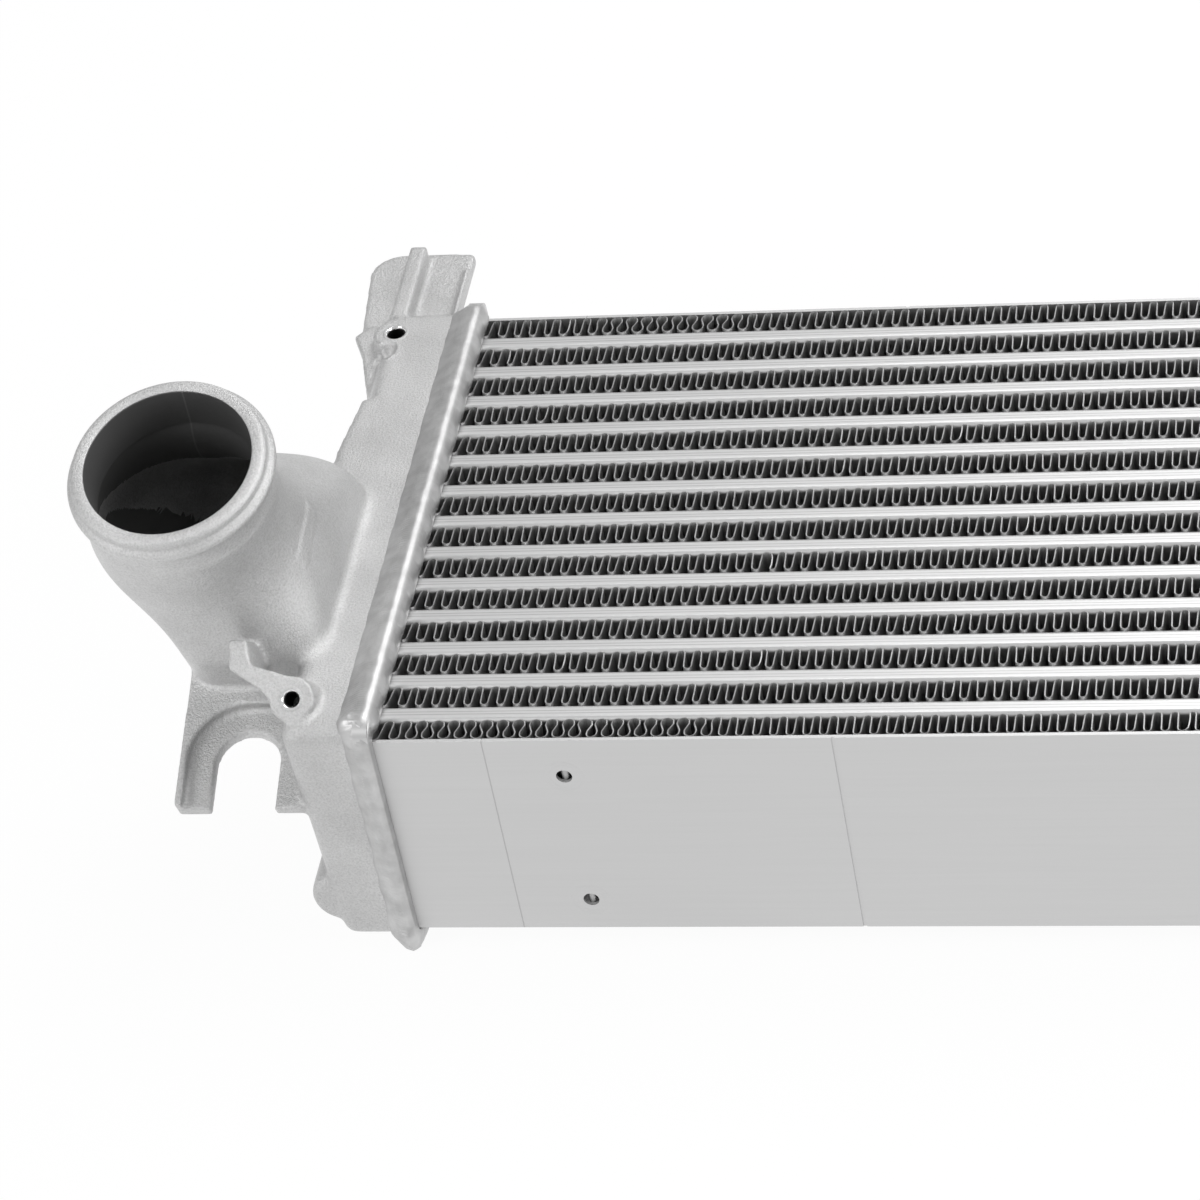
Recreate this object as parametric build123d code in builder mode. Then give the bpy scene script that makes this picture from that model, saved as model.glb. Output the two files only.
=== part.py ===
"""Charge air cooler: a brazed tube and fin core between two cast aluminium end tanks.

The cooler lies on its back with the cooling face up. X runs along the tubes, Y across the
stack of tubes, from the foot side to the ear side, and Z is the depth of the core, up
through the cooling face. The origin is the centre of the bottom of its bounding box.
Lengths are in millimetres.
"""

from math import atan2, cos, radians, sin, tan
import os

from build123d import *

# Core: rows of corrugated fins with flat tubes between them
CORE_LENGTH = 609.6
CORE_DEPTH = 101.6
FIN_ROWS = 14
FIN_HEIGHT = 10.8
FIN_PITCH = 6.52
FIN_SHEET = 0.5
FIN_CREST = 1.5
FIN_INSET = 0.4
FIN_END_GAP = 1.6
TUBE_THICKNESS = 8.5
TUBE_NOSE_RADIUS = 2.2
TUBE_SHEET = 0.8
TUBE_BAR = 5.0
TUBE_STICK_OUT = 1.5
TURBULATOR_PITCH = 7.6
TURBULATOR_SHEET = 0.4
TURBULATOR_CREST = 1.6
TURBULATOR_END_GAP = 10.0

# Side plates that close the core beyond the outer fin rows
PLATE_THICKNESS = 1.6
PLATE_HOLE_RADIUS = 3.2
PLATE_HOLE_FROM_HEADER = 74.0
PLATE_HOLE_BELOW_FACE = 19.0
PLATE_HOLE_SPACING = 67.0
PLATE_GROOVE_FROM_HEADER = 182.0
PLATE_GROOVE_WIDTH = 1.5
PLATE_GROOVE_DEPTH = 0.4

# Header plates that the tubes pass through
HEADER_THICKNESS = 6.0
HEADER_OVER_Y = 5.0
HEADER_OVER_Z = 9.0
HEADER_CORNER_RADIUS = 6.0
SLOT_CLEARANCE = 0.1

# Cast end tanks
WALL = 4.5
TANK_DEPTH_NEAR = 30.9
TANK_DEPTH_FAR = 36.6
TANK_DRAFT = 5.4
TANK_OVER_Y = 2.0
TANK_OVER_Z = 5.5
TANK_CORNER_RADIUS = 6.0
WELD_LEG = 6.5
WELD_HEIGHT = 3.0
WELD_ROOT = 0.4

# Duct: its foot on the tank's top, its shoulder and waist, and the belly beside the tank
DUCT_RIGHT = 28.0
DUCT_LEFT = 89.0
DUCT_NEAR = 40.0
DUCT_FAR = 150.0
DUCT_CORNER_RADIUS = 14.0
SHOULDER_OUT = 68.0
SHOULDER_ALONG = 87.5
SHOULDER_HEIGHT = 30.0
SHOULDER_TILT = 5.0
SHOULDER_WIDTH = 74.0
SHOULDER_LENGTH = 95.0
SHOULDER_RADIUS = 26.0
WAIST_OUT = 75.5
WAIST_ALONG = 74.5
WAIST_HEIGHT = 48.0
WAIST_TILT = 10.0
WAIST_WIDTH = 79.0
WAIST_LENGTH = 78.0
WAIST_RADIUS = 34.0
NECK_WIDTH = 77.6
NECK_RADIUS = 37.6
BELLY_LEFT = 86.0
BELLY_DEPTH = 20.0
BELLY_LENGTH = 98.0
BELLY_RADIUS = 16.0
FLOOR_LEFT = 74.0
FLOOR_DEPTH = 38.0
FLOOR_LENGTH = 86.0
FLOOR_RADIUS = 14.0
MOUTH_NEAR = 53.0
MOUTH_FAR = 137.0

# Gusset between the duct's far wall and the side of the tank
GUSSET_OUT = 50.0
GUSSET_END = 205.0
GUSSET_DEPTH = 30.0

# Hose port at the top of the duct
PORT_OUT = 76.0
PORT_ALONG = 60.0
PORT_HEIGHT = 93.0
PORT_TILT = 15.0
PORT_BORE_RADIUS = 33.8
PORT_RADIUS = 39.5
PORT_BEVEL = 1.4
PORT_BEAD_RADIUS = 42.0
PORT_BEAD_DROP = 7.5
PORT_BEAD_WIDTH = 5.0
PORT_NECK_RADIUS = 38.6
PORT_LENGTH = 20.0
PORT_OVERLAP = 0.5

# Forked foot on the side of the tank
FOOT_TILT = 22.0
FOOT_LEFT = 86.5
FOOT_END_DROP = 35.0
FOOT_SLOT_OUT = 59.3
FOOT_SLOT_RADIUS = 13.3
FOOT_SLOT_CENTRE = 20.0
FOOT_SEAT_RADIUS = 24.2
FOOT_SEAT_STEP = 5.0
FOOT_THICKNESS = 5.4
FOOT_LENGTH = 60.0

# Lower threaded boss and the rib that ties it to the duct
BOSS_TILT = 40.0
BOSS_OUT = 32.3
BOSS_ALONG = 11.0
BOSS_HEIGHT = 12.0
BOSS_RADIUS = 9.2
BOSS_LENGTH = 26.0
BOSS_DRILL_RADIUS = 2.5
BOSS_DRILL_DEPTH = 14.0
BOSS_CHAMFER = 1.1
RIB_OUTLINE = [
    (0, 8.6),
    (-6.8, 10.7),
    (-17, 13.6),
    (-18.9, 24),
    (-26.3, 24),
    (-26, 12.2),
    (-12.7, 3.7),
    (-8.6, -1),
]

# Upper threaded boss beside the ear
TOP_BOSS_OUT = 36.2
TOP_BOSS_ALONG = 248.5
TOP_BOSS_RADIUS = 10.0
TOP_BOSS_LENGTH = 26.0
TOP_BOSS_DRILL_RADIUS = 3.4
TOP_BOSS_DRILL_DEPTH = 16.0
TOP_BOSS_CHAMFER = 0.8
SCOOP_OUTLINE = [(-42, 241.5), (-38, 228), (-33.5, 241)]
SCOOP_ROUNDING = 2.0
SCOOP_DEPTH = 3.0
SCOOP_TAPER = 25.0
WEB_OUTLINE = [(-36, 205), (-41.5, 205), (-51, 241), (-57, 255), (-52.5, 260.5), (-36, 261)]
WEB_THICKNESS = 4.0
WEB_DROP = 1.0

# Ear at the far end of the tank
EAR_REACH = 49.0
EAR_RIGHT = 13.5
EAR_LEFT = 54.0
EAR_LEFT_END = 60.0
EAR_ROOT = 24.0
EAR_DROP = 7.5
EAR_THICKNESS = 5.0
EAR_CORNER_RADIUS = 13.0
EAR_SMALL_RADIUS = 3.0
EAR_RIB_OUT = 37.3
EAR_RIB_WIDTH = 7.6
EAR_RIB_SHORT = 3.5
EAR_LIP_WIDTH = 2.0
EAR_LIP_HEIGHT = 3.0

# Round lobe low on the side of the tank
LOBE_OUT = 29.5
LOBE_DROP = 88.0
LOBE_RADIUS = 12.5
LOBE_LENGTH = 28.0
LOBE_ROUNDING = 4.0

# Sizes that follow from the ones above
TUBE_ROWS = FIN_ROWS - 1
ROW_PITCH = FIN_HEIGHT + TUBE_THICKNESS
CORE_HEIGHT = FIN_ROWS * FIN_HEIGHT + TUBE_ROWS * TUBE_THICKNESS
TANK_END_Y = CORE_HEIGHT + TANK_OVER_Y
Z_FACE = CORE_DEPTH + HEADER_OVER_Z
Z_MIDDLE = Z_FACE - CORE_DEPTH / 2
Y_CORE = (HEADER_OVER_Y - TANK_END_Y - EAR_REACH) / 2
Y_MIDDLE = Y_CORE + CORE_HEIGHT / 2
X_HEADER = CORE_LENGTH / 2


def at(out, along, up):
    """A point by its distance out from the core, along the stack and up from the cooling face."""
    return Vector(-X_HEADER - out, Y_CORE + along, Z_FACE + up)


def tilted_plane(origin, tilt):
    """A plane facing up, with its normal leaning towards the foot side by tilt degrees."""
    return Plane(origin=origin, x_dir=(1, 0, 0), z_dir=(0, -sin(radians(tilt)), cos(radians(tilt))))


def wave_points(count, pitch, crest, height, sheet):
    """Corners of a corrugated sheet of square-ended waves, centred on its own middle."""
    rise = height - sheet
    run = pitch / 2 - crest
    corner = sheet / 2 * tan(atan2(rise, run) / 2)
    start = -count * pitch / 2

    def side(lift):
        """One face of the sheet: lift is +1 on its upper face and -1 on its lower one."""
        points = []
        for wave in range(count):
            low = start + wave * pitch
            top = low + pitch / 2
            for left, level in ((low, -1), (top, 1)):
                spread = corner * level * lift
                y = level * rise / 2 + lift * sheet / 2
                points.append((left + run / 2 - spread, y))
                points.append((left + run / 2 + crest + spread, y))
        return points

    return side(1) + side(-1)[::-1]


def wave_face(plane, count, pitch, crest, height, sheet):
    """A sketch of one corrugated sheet on the given plane."""
    with BuildSketch(plane) as wave:
        with BuildLine():
            Polyline(*wave_points(count, pitch, crest, height, sheet), close=True)
        make_face()
    return wave.sketch


def export(part, name):
    """Label one finished piece and write its file."""
    part.label = name
    export_step(part, f"parts/{name}.step")


os.makedirs("parts", exist_ok=True)


def row_y(row):
    """Middle of one fin row, counted from the foot side."""
    return Y_CORE + FIN_HEIGHT / 2 + row * ROW_PITCH


def tube_y(row):
    """Middle of one tube, counted from the foot side."""
    return Y_CORE + FIN_HEIGHT + TUBE_THICKNESS / 2 + row * ROW_PITCH


def export_rows(pattern, count, place, name):
    """Place a copy of the pattern in each row and write it under its own number."""
    for row in range(count):
        with BuildPart() as piece:
            with Locations((0, place(row), 0)):
                add(pattern)
        export(piece.part, f"{name}_{row + 1:02d}")


# Fins: one corrugated strip fills each row, its crests brazed to the tubes beside it
fin_count = int((CORE_LENGTH - 2 * FIN_END_GAP) // FIN_PITCH)
fin_plane = Plane(origin=(0, 0, Z_FACE - CORE_DEPTH + FIN_INSET))
with BuildPart() as fin_strip:
    fin_wave = wave_face(fin_plane, fin_count, FIN_PITCH, FIN_CREST, FIN_HEIGHT, FIN_SHEET)
    extrude(fin_wave, amount=CORE_DEPTH - 2 * FIN_INSET, dir=(0, 0, 1))
export_rows(fin_strip.part, FIN_ROWS, row_y, "fin_strip")

# Tubes: flat passages brazed from two sheets and two side bars
tube_length = CORE_LENGTH + 2 * (HEADER_THICKNESS + TUBE_STICK_OUT)
passage_height = TUBE_THICKNESS - 2 * TUBE_SHEET
passage_depth = CORE_DEPTH - 2 * TUBE_BAR
with BuildPart() as tube:
    with BuildSketch(Plane(origin=(-tube_length / 2, 0, Z_MIDDLE), x_dir=(0, 1, 0), z_dir=(1, 0, 0))):
        RectangleRounded(TUBE_THICKNESS, CORE_DEPTH, TUBE_NOSE_RADIUS)
        Rectangle(passage_height, passage_depth, mode=Mode.SUBTRACT)
    extrude(amount=tube_length)
export_rows(tube.part, TUBE_ROWS, tube_y, "tube")

# Turbulators: the corrugated sheet inside each tube that stirs the charge air
turbulator_count = int(passage_depth // TURBULATOR_PITCH)
turbulator_length = CORE_LENGTH - 2 * TURBULATOR_END_GAP
turbulator_plane = Plane(origin=(-turbulator_length / 2, 0, Z_MIDDLE), x_dir=(0, 0, 1), z_dir=(1, 0, 0))
with BuildPart() as turbulator:
    turbulator_wave = wave_face(
        turbulator_plane, turbulator_count, TURBULATOR_PITCH, TURBULATOR_CREST, passage_height, TURBULATOR_SHEET
    )
    extrude(turbulator_wave, amount=turbulator_length, dir=(1, 0, 0))
export_rows(turbulator.part, TUBE_ROWS, tube_y, "turbulator")

# Side plates: plain sheets with a pair of bolt holes near each header
plate_hole_z = Z_FACE - PLATE_HOLE_BELOW_FACE - PLATE_HOLE_SPACING / 2
plate_hole_x = X_HEADER - PLATE_HOLE_FROM_HEADER
groove_x = X_HEADER - PLATE_GROOVE_FROM_HEADER


def side_plate(outer_y, facing):
    """A side plate whose outer face lies at outer_y and looks along facing, -1 or +1 in Y."""
    plane = Plane(origin=(0, outer_y, Z_MIDDLE), x_dir=(1, 0, 0), z_dir=(0, facing, 0))
    rise = (plate_hole_z - Z_MIDDLE) * -facing
    with BuildPart() as plate:
        with BuildSketch(plane):
            Rectangle(CORE_LENGTH, CORE_DEPTH)
            with Locations((-plate_hole_x, rise), (plate_hole_x, rise)):
                with GridLocations(0, PLATE_HOLE_SPACING, 1, 2):
                    Circle(PLATE_HOLE_RADIUS, mode=Mode.SUBTRACT)
        extrude(amount=-PLATE_THICKNESS)
        with BuildSketch(plane):
            with Locations((-groove_x, 0), (groove_x, 0)):
                Rectangle(PLATE_GROOVE_WIDTH, CORE_DEPTH)
        extrude(amount=-PLATE_GROOVE_DEPTH, mode=Mode.SUBTRACT)
    return plate.part


export(side_plate(Y_CORE - PLATE_THICKNESS, -1), "foot_side_plate")
export(side_plate(Y_CORE + CORE_HEIGHT + PLATE_THICKNESS, 1), "ear_side_plate")

# Header plates: thick plates with one slot for each tube
header_width = CORE_HEIGHT + 2 * HEADER_OVER_Y
header_depth = CORE_DEPTH + 2 * HEADER_OVER_Z

with BuildPart() as inlet_header:
    with BuildSketch(Plane(origin=(-X_HEADER, Y_MIDDLE, Z_MIDDLE), x_dir=(0, 1, 0), z_dir=(1, 0, 0))):
        RectangleRounded(header_width, header_depth, HEADER_CORNER_RADIUS)
        with GridLocations(ROW_PITCH, 0, TUBE_ROWS, 1):
            RectangleRounded(
                TUBE_THICKNESS + 2 * SLOT_CLEARANCE,
                CORE_DEPTH + 2 * SLOT_CLEARANCE,
                TUBE_NOSE_RADIUS + SLOT_CLEARANCE,
                mode=Mode.SUBTRACT,
            )
    extrude(amount=-HEADER_THICKNESS)
export(inlet_header.part, "inlet_header")

with BuildPart() as outlet_header:
    mirror(inlet_header.part, about=Plane.YZ)
export(outlet_header.part, "outlet_header")

# Port frame: the plane of the port's rim
port_plane = tilted_plane(at(PORT_OUT, PORT_ALONG, PORT_HEIGHT), PORT_TILT)
neck_plane = port_plane.offset(-PORT_LENGTH)
duct_middle = (DUCT_NEAR + DUCT_FAR) / 2
duct_length = DUCT_FAR - DUCT_NEAR
duct_width = DUCT_LEFT - DUCT_RIGHT


def duct_level(left, height):
    """A level plane centred between the duct's right side and the given left side."""
    return Plane(at((left + DUCT_RIGHT) / 2, duct_middle, height))


def loft_through(sections, inset, ruled):
    """A solid through rounded rectangles, each set in by inset all round."""
    with BuildPart() as body:
        for plane, width, length, radius in sections:
            with BuildSketch(plane):
                RectangleRounded(width - 2 * inset, length - 2 * inset, radius - inset)
        loft(ruled=ruled)
    return body.part


def duct(inset):
    """The duct from its foot on the tank up to the port's neck."""
    foot_level = duct_level(DUCT_LEFT, TANK_OVER_Z)
    shoulder_plane = tilted_plane(at(SHOULDER_OUT, SHOULDER_ALONG, SHOULDER_HEIGHT), SHOULDER_TILT)
    waist_plane = tilted_plane(at(WAIST_OUT, WAIST_ALONG, WAIST_HEIGHT), WAIST_TILT)
    sections = (
        (foot_level, duct_width, duct_length, DUCT_CORNER_RADIUS),
        (shoulder_plane, SHOULDER_WIDTH, SHOULDER_LENGTH, SHOULDER_RADIUS),
        (waist_plane, WAIST_WIDTH, WAIST_LENGTH, WAIST_RADIUS),
        (neck_plane, NECK_WIDTH, NECK_WIDTH, NECK_RADIUS),
    )
    return loft_through(sections, inset, ruled=False)


def belly(inset):
    """The duct's lower half beside the tank, from the foot down to its floor."""
    sections = (
        (duct_level(DUCT_LEFT, TANK_OVER_Z), duct_width, duct_length, DUCT_CORNER_RADIUS),
        (duct_level(BELLY_LEFT, -BELLY_DEPTH), BELLY_LEFT - DUCT_RIGHT, BELLY_LENGTH, BELLY_RADIUS),
        (duct_level(FLOOR_LEFT, inset - FLOOR_DEPTH), FLOOR_LEFT - DUCT_RIGHT, FLOOR_LENGTH, FLOOR_RADIUS),
    )
    return loft_through(sections, inset, ruled=True)


def channel_end(along, depth, inset):
    """The plane and the outline of one end of the channel, set in by inset all round."""
    plane = Plane(origin=at(HEADER_THICKNESS, along, 0), x_dir=(-1, 0, 0), z_dir=(0, 1, 0))
    top = TANK_OVER_Z - inset
    bottom = inset - CORE_DEPTH - TANK_OVER_Z
    outline = ((0, top), (depth - inset, top), (depth - TANK_DRAFT - inset, bottom), (0, bottom))
    return plane, outline


def channel(inset):
    """The tank's straight channel, set in by inset from every wall but its open rim."""
    ends = (
        channel_end(inset - TANK_OVER_Y, TANK_DEPTH_NEAR, inset),
        channel_end(TANK_END_Y - inset, TANK_DEPTH_FAR, inset),
    )
    with BuildPart() as body:
        for plane, outline in ends:
            with BuildSketch(plane):
                with BuildLine():
                    Polyline(*outline, close=True)
                make_face()
        loft(ruled=True)
        rim_x = body.faces().sort_by(Axis.X)[-1].center().X
        closed_edges = body.edges().filter_by(lambda edge: edge.center().X < rim_x - HEADER_THICKNESS / 2)
        fillet(closed_edges, TANK_CORNER_RADIUS - inset)
    return body.part


# Weld: a sloped bead round the tank's rim where it meets the header
rim_width = CORE_HEIGHT + 2 * TANK_OVER_Y
rim_depth = CORE_DEPTH + 2 * TANK_OVER_Z
with BuildPart() as inlet_weld:
    for out, growth in ((HEADER_THICKNESS + WELD_LEG, -WELD_ROOT), (HEADER_THICKNESS, WELD_HEIGHT)):
        rim_centre = at(out, CORE_HEIGHT / 2, -CORE_DEPTH / 2)
        with BuildSketch(Plane(origin=rim_centre, x_dir=(0, 1, 0), z_dir=(1, 0, 0))):
            RectangleRounded(rim_width + 2 * growth, rim_depth + 2 * growth, TANK_CORNER_RADIUS)
    loft(ruled=True)
    add(channel(0), mode=Mode.SUBTRACT)
export(inlet_weld.part, "inlet_weld")

with BuildPart() as outlet_weld:
    mirror(inlet_weld.part, about=Plane.YZ)
export(outlet_weld.part, "outlet_weld")

# Hose port: a plain end with a rolled bead, turned about the port's axis
port_section = Plane(origin=port_plane.origin, x_dir=(1, 0, 0), z_dir=-port_plane.y_dir)
bead_top = -PORT_BEAD_DROP + PORT_BEAD_WIDTH / 2
bead_bottom = -PORT_BEAD_DROP - PORT_BEAD_WIDTH / 2
bead_slope = PORT_BEAD_WIDTH / 4
with BuildPart() as port:
    with BuildSketch(port_section):
        with BuildLine():
            Polyline(
                (0, 0),
                (PORT_RADIUS - PORT_BEVEL, 0),
                (PORT_RADIUS, -PORT_BEVEL),
                (PORT_RADIUS, bead_top),
                (PORT_BEAD_RADIUS, bead_top - bead_slope),
                (PORT_BEAD_RADIUS, bead_bottom + bead_slope),
                (PORT_NECK_RADIUS, bead_bottom),
                (PORT_NECK_RADIUS, -PORT_LENGTH - PORT_OVERLAP),
                (PORT_NECK_RADIUS - WALL / 2, -PORT_LENGTH - WALL),
                (0, -PORT_LENGTH - WALL),
                close=True,
            )
        make_face()
    revolve(axis=Axis(port_plane.origin, port_plane.z_dir))

# Forked foot: a plate with a round-ended slot and a seat sunk round the slot
foot_plane = tilted_plane(at(FOOT_SLOT_OUT, -TANK_OVER_Y, -FOOT_END_DROP), FOOT_TILT)
foot_left = FOOT_LEFT - FOOT_SLOT_OUT
foot_right = FOOT_SLOT_OUT - HEADER_THICKNESS - TANK_DEPTH_NEAR + WALL / 2
with BuildPart() as foot:
    with BuildSketch(foot_plane.offset(-FOOT_THICKNESS)):
        with Locations(((foot_right - foot_left) / 2, FOOT_LENGTH / 2)):
            Rectangle(foot_left + foot_right, FOOT_LENGTH)
    extrude(amount=FOOT_THICKNESS + FOOT_SEAT_STEP)
    with BuildSketch(foot_plane):
        with Locations((0, FOOT_SLOT_CENTRE)):
            Circle(FOOT_SEAT_RADIUS)
        with Locations((0, FOOT_SLOT_CENTRE / 2)):
            Rectangle(2 * FOOT_SEAT_RADIUS, FOOT_SLOT_CENTRE)
        with Locations((foot_right / 2, (FOOT_SLOT_CENTRE + FOOT_SEAT_RADIUS) / 2)):
            Rectangle(foot_right, FOOT_SLOT_CENTRE + FOOT_SEAT_RADIUS)
    extrude(amount=FOOT_SEAT_STEP, mode=Mode.SUBTRACT)
    with BuildSketch(foot_plane.offset(-FOOT_THICKNESS)):
        with Locations((0, FOOT_SLOT_CENTRE)):
            Circle(FOOT_SLOT_RADIUS)
        with Locations((0, FOOT_SLOT_CENTRE / 2)):
            Rectangle(2 * FOOT_SLOT_RADIUS, FOOT_SLOT_CENTRE)
    extrude(amount=FOOT_THICKNESS + FOOT_SEAT_STEP, mode=Mode.SUBTRACT)

# Lower boss and its bent rib: the rib runs out to the duct's near wall
boss_plane = tilted_plane(at(BOSS_OUT, BOSS_ALONG, BOSS_HEIGHT), BOSS_TILT)
with BuildPart() as boss:
    with BuildSketch(boss_plane):
        Circle(BOSS_RADIUS)
        with BuildLine():
            Polyline(*RIB_OUTLINE, close=True)
        make_face()
    extrude(amount=-BOSS_LENGTH)

# Upper boss and the thin web beside it
top_boss_plane = Plane(at(TOP_BOSS_OUT, TOP_BOSS_ALONG, TANK_OVER_Z))
with BuildPart() as top_boss:
    with BuildSketch(top_boss_plane):
        Circle(TOP_BOSS_RADIUS)
    extrude(amount=-TOP_BOSS_LENGTH)

tank_side_out = HEADER_THICKNESS + TANK_DEPTH_NEAR
tank_far_out = HEADER_THICKNESS + TANK_DEPTH_FAR
with BuildPart() as web:
    with BuildSketch(Plane(at(0, 0, -WEB_DROP))):
        with BuildLine():
            Polyline(*WEB_OUTLINE, close=True)
        make_face()
    extrude(amount=-WEB_THICKNESS)
    with BuildSketch(Plane(at(0, 0, TANK_OVER_Z))):
        with BuildLine():
            Polyline(
                (-tank_side_out, GUSSET_END),
                (-tank_far_out, GUSSET_END),
                (-GUSSET_OUT, DUCT_FAR - WALL / 2),
                (-tank_side_out, DUCT_FAR - WALL / 2),
                close=True,
            )
        make_face()
    extrude(amount=-GUSSET_DEPTH)

# Ear: a flat tongue past the tank's far end, with a standing rib and a low lip
ear_end = TANK_END_Y + EAR_REACH
with BuildPart() as ear:
    with BuildSketch(Plane(at(0, 0, TANK_OVER_Z - EAR_DROP))):
        with BuildLine():
            FilletPolyline(
                (-EAR_RIGHT, TANK_END_Y - WALL / 2),
                (-EAR_RIGHT, ear_end),
                (-EAR_LEFT_END, ear_end),
                (-EAR_LEFT, TANK_END_Y - EAR_ROOT / 2),
                (-tank_side_out - WALL / 2, TANK_END_Y - EAR_ROOT),
                (-tank_side_out - WALL / 2, TANK_END_Y - WALL / 2),
                radius=(EAR_SMALL_RADIUS, EAR_CORNER_RADIUS, EAR_SMALL_RADIUS, EAR_SMALL_RADIUS),
            )
            Line((-tank_side_out - WALL / 2, TANK_END_Y - WALL / 2), (-EAR_RIGHT, TANK_END_Y - WALL / 2))
        make_face()
    extrude(amount=-EAR_THICKNESS)
    rib_start = TANK_END_Y - WALL / 2
    rib_length = ear_end - EAR_RIB_SHORT - rib_start
    with BuildSketch(Plane(at(EAR_RIB_OUT, rib_start, TANK_OVER_Z - EAR_DROP - EAR_THICKNESS / 2))):
        with Locations((0, rib_length / 2)):
            Rectangle(EAR_RIB_WIDTH, rib_length)
    extrude(amount=EAR_DROP + EAR_THICKNESS / 2)
    with BuildSketch(Plane(at(EAR_RIGHT, rib_start, TANK_OVER_Z - EAR_DROP - EAR_THICKNESS / 2))):
        with Locations((-EAR_LIP_WIDTH / 2, (ear_end - EAR_CORNER_RADIUS - rib_start) / 2)):
            Rectangle(EAR_LIP_WIDTH, ear_end - EAR_CORNER_RADIUS - rib_start)
    extrude(amount=EAR_LIP_HEIGHT + EAR_THICKNESS / 2)

# Lobe: the stub of a casting lug on the near side
with BuildPart() as lobe:
    with BuildSketch(Plane(origin=at(LOBE_OUT, 0, -LOBE_DROP), x_dir=(1, 0, 0), z_dir=(0, 1, 0))):
        Circle(LOBE_RADIUS)
    extrude(amount=LOBE_LENGTH)
    fillet(lobe.edges().group_by(Axis.Y)[0], LOBE_ROUNDING)

# Inlet tank: one casting, hollow from the hose port to its open rim
mouth_out = (tank_side_out + DUCT_RIGHT) / 2
mouth_height = FLOOR_DEPTH + TANK_OVER_Z - 2 * WALL
mouth_width = 2 * WALL
with BuildPart() as inlet_tank:
    for solid in (channel(0), duct(0), belly(0), port.part, foot.part, web.part, ear.part, lobe.part):
        add(solid)
    for hollow in (channel(WALL), duct(WALL), belly(WALL)):
        add(hollow, mode=Mode.SUBTRACT)
    with BuildSketch(Plane(at(mouth_out, (MOUTH_NEAR + MOUTH_FAR) / 2, TANK_OVER_Z - WALL))):
        Rectangle(mouth_width, MOUTH_FAR - MOUTH_NEAR)
    extrude(amount=-mouth_height, mode=Mode.SUBTRACT)
    with BuildSketch(port_plane):
        Circle(PORT_BORE_RADIUS)
    extrude(amount=-PORT_LENGTH - PORT_OVERLAP, mode=Mode.SUBTRACT)
    add(boss.part)
    add(top_boss.part)
    with Locations(Location(boss_plane)):
        CounterSinkHole(BOSS_DRILL_RADIUS, BOSS_DRILL_RADIUS + BOSS_CHAMFER, BOSS_DRILL_DEPTH)
    with Locations(Location(top_boss_plane)):
        CounterSinkHole(TOP_BOSS_DRILL_RADIUS, TOP_BOSS_DRILL_RADIUS + TOP_BOSS_CHAMFER, TOP_BOSS_DRILL_DEPTH)
    with BuildSketch(Plane(at(0, 0, TANK_OVER_Z))) as scoop:
        with BuildLine():
            Polyline(*SCOOP_OUTLINE, close=True)
        make_face()
        fillet(scoop.vertices(), SCOOP_ROUNDING)
    extrude(amount=-SCOOP_DEPTH, taper=SCOOP_TAPER, mode=Mode.SUBTRACT)
export(inlet_tank.part, "inlet_tank")

with BuildPart() as outlet_tank:
    mirror(inlet_tank.part, about=Plane.YZ)
export(outlet_tank.part, "outlet_tank")
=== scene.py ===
# %% [markdown]
# # A charge air cooler in bare aluminium
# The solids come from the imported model. They already have the true sizes, so this lesson only
# adds what a lathe, a mould, a welder and a few years of handling leave on such a cooler.

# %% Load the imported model
from math import atan2, cos, pi, radians, sin

import bpy
from mathutils import Matrix, Vector, noise


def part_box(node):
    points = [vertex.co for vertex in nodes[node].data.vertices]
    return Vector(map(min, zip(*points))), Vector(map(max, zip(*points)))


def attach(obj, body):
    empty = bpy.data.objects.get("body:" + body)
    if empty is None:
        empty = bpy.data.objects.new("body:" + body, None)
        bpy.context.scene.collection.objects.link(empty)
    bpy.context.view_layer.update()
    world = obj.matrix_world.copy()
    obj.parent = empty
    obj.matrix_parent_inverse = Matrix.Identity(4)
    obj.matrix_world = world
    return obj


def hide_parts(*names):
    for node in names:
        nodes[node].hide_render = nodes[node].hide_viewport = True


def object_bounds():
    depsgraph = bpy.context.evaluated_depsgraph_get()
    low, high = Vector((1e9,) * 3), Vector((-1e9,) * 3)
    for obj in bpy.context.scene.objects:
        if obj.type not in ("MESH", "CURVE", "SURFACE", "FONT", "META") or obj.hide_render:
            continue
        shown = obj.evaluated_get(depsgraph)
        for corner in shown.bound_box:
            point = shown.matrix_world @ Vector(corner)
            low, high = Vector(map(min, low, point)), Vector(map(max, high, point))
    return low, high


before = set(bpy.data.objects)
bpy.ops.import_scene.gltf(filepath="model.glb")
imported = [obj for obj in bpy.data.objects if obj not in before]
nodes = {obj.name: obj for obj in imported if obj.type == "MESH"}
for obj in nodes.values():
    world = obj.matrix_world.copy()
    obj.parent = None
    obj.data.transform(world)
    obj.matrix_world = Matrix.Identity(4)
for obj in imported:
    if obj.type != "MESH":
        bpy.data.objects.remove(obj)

bpy.ops.object.select_all(action="DESELECT")
cad_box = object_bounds()
MM = 0.001
print("nodes:", len(nodes), "box in mm:", [round((b - a) / MM, 1) for a, b in zip(*cad_box)])

# %% [markdown]
# Every place on the cooler is counted from one corner of its core, as a fitter would measure it:
# how far out past the core's end, how far along the stack of tubes, and how far above the face
# that the cooling air blows through.

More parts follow.
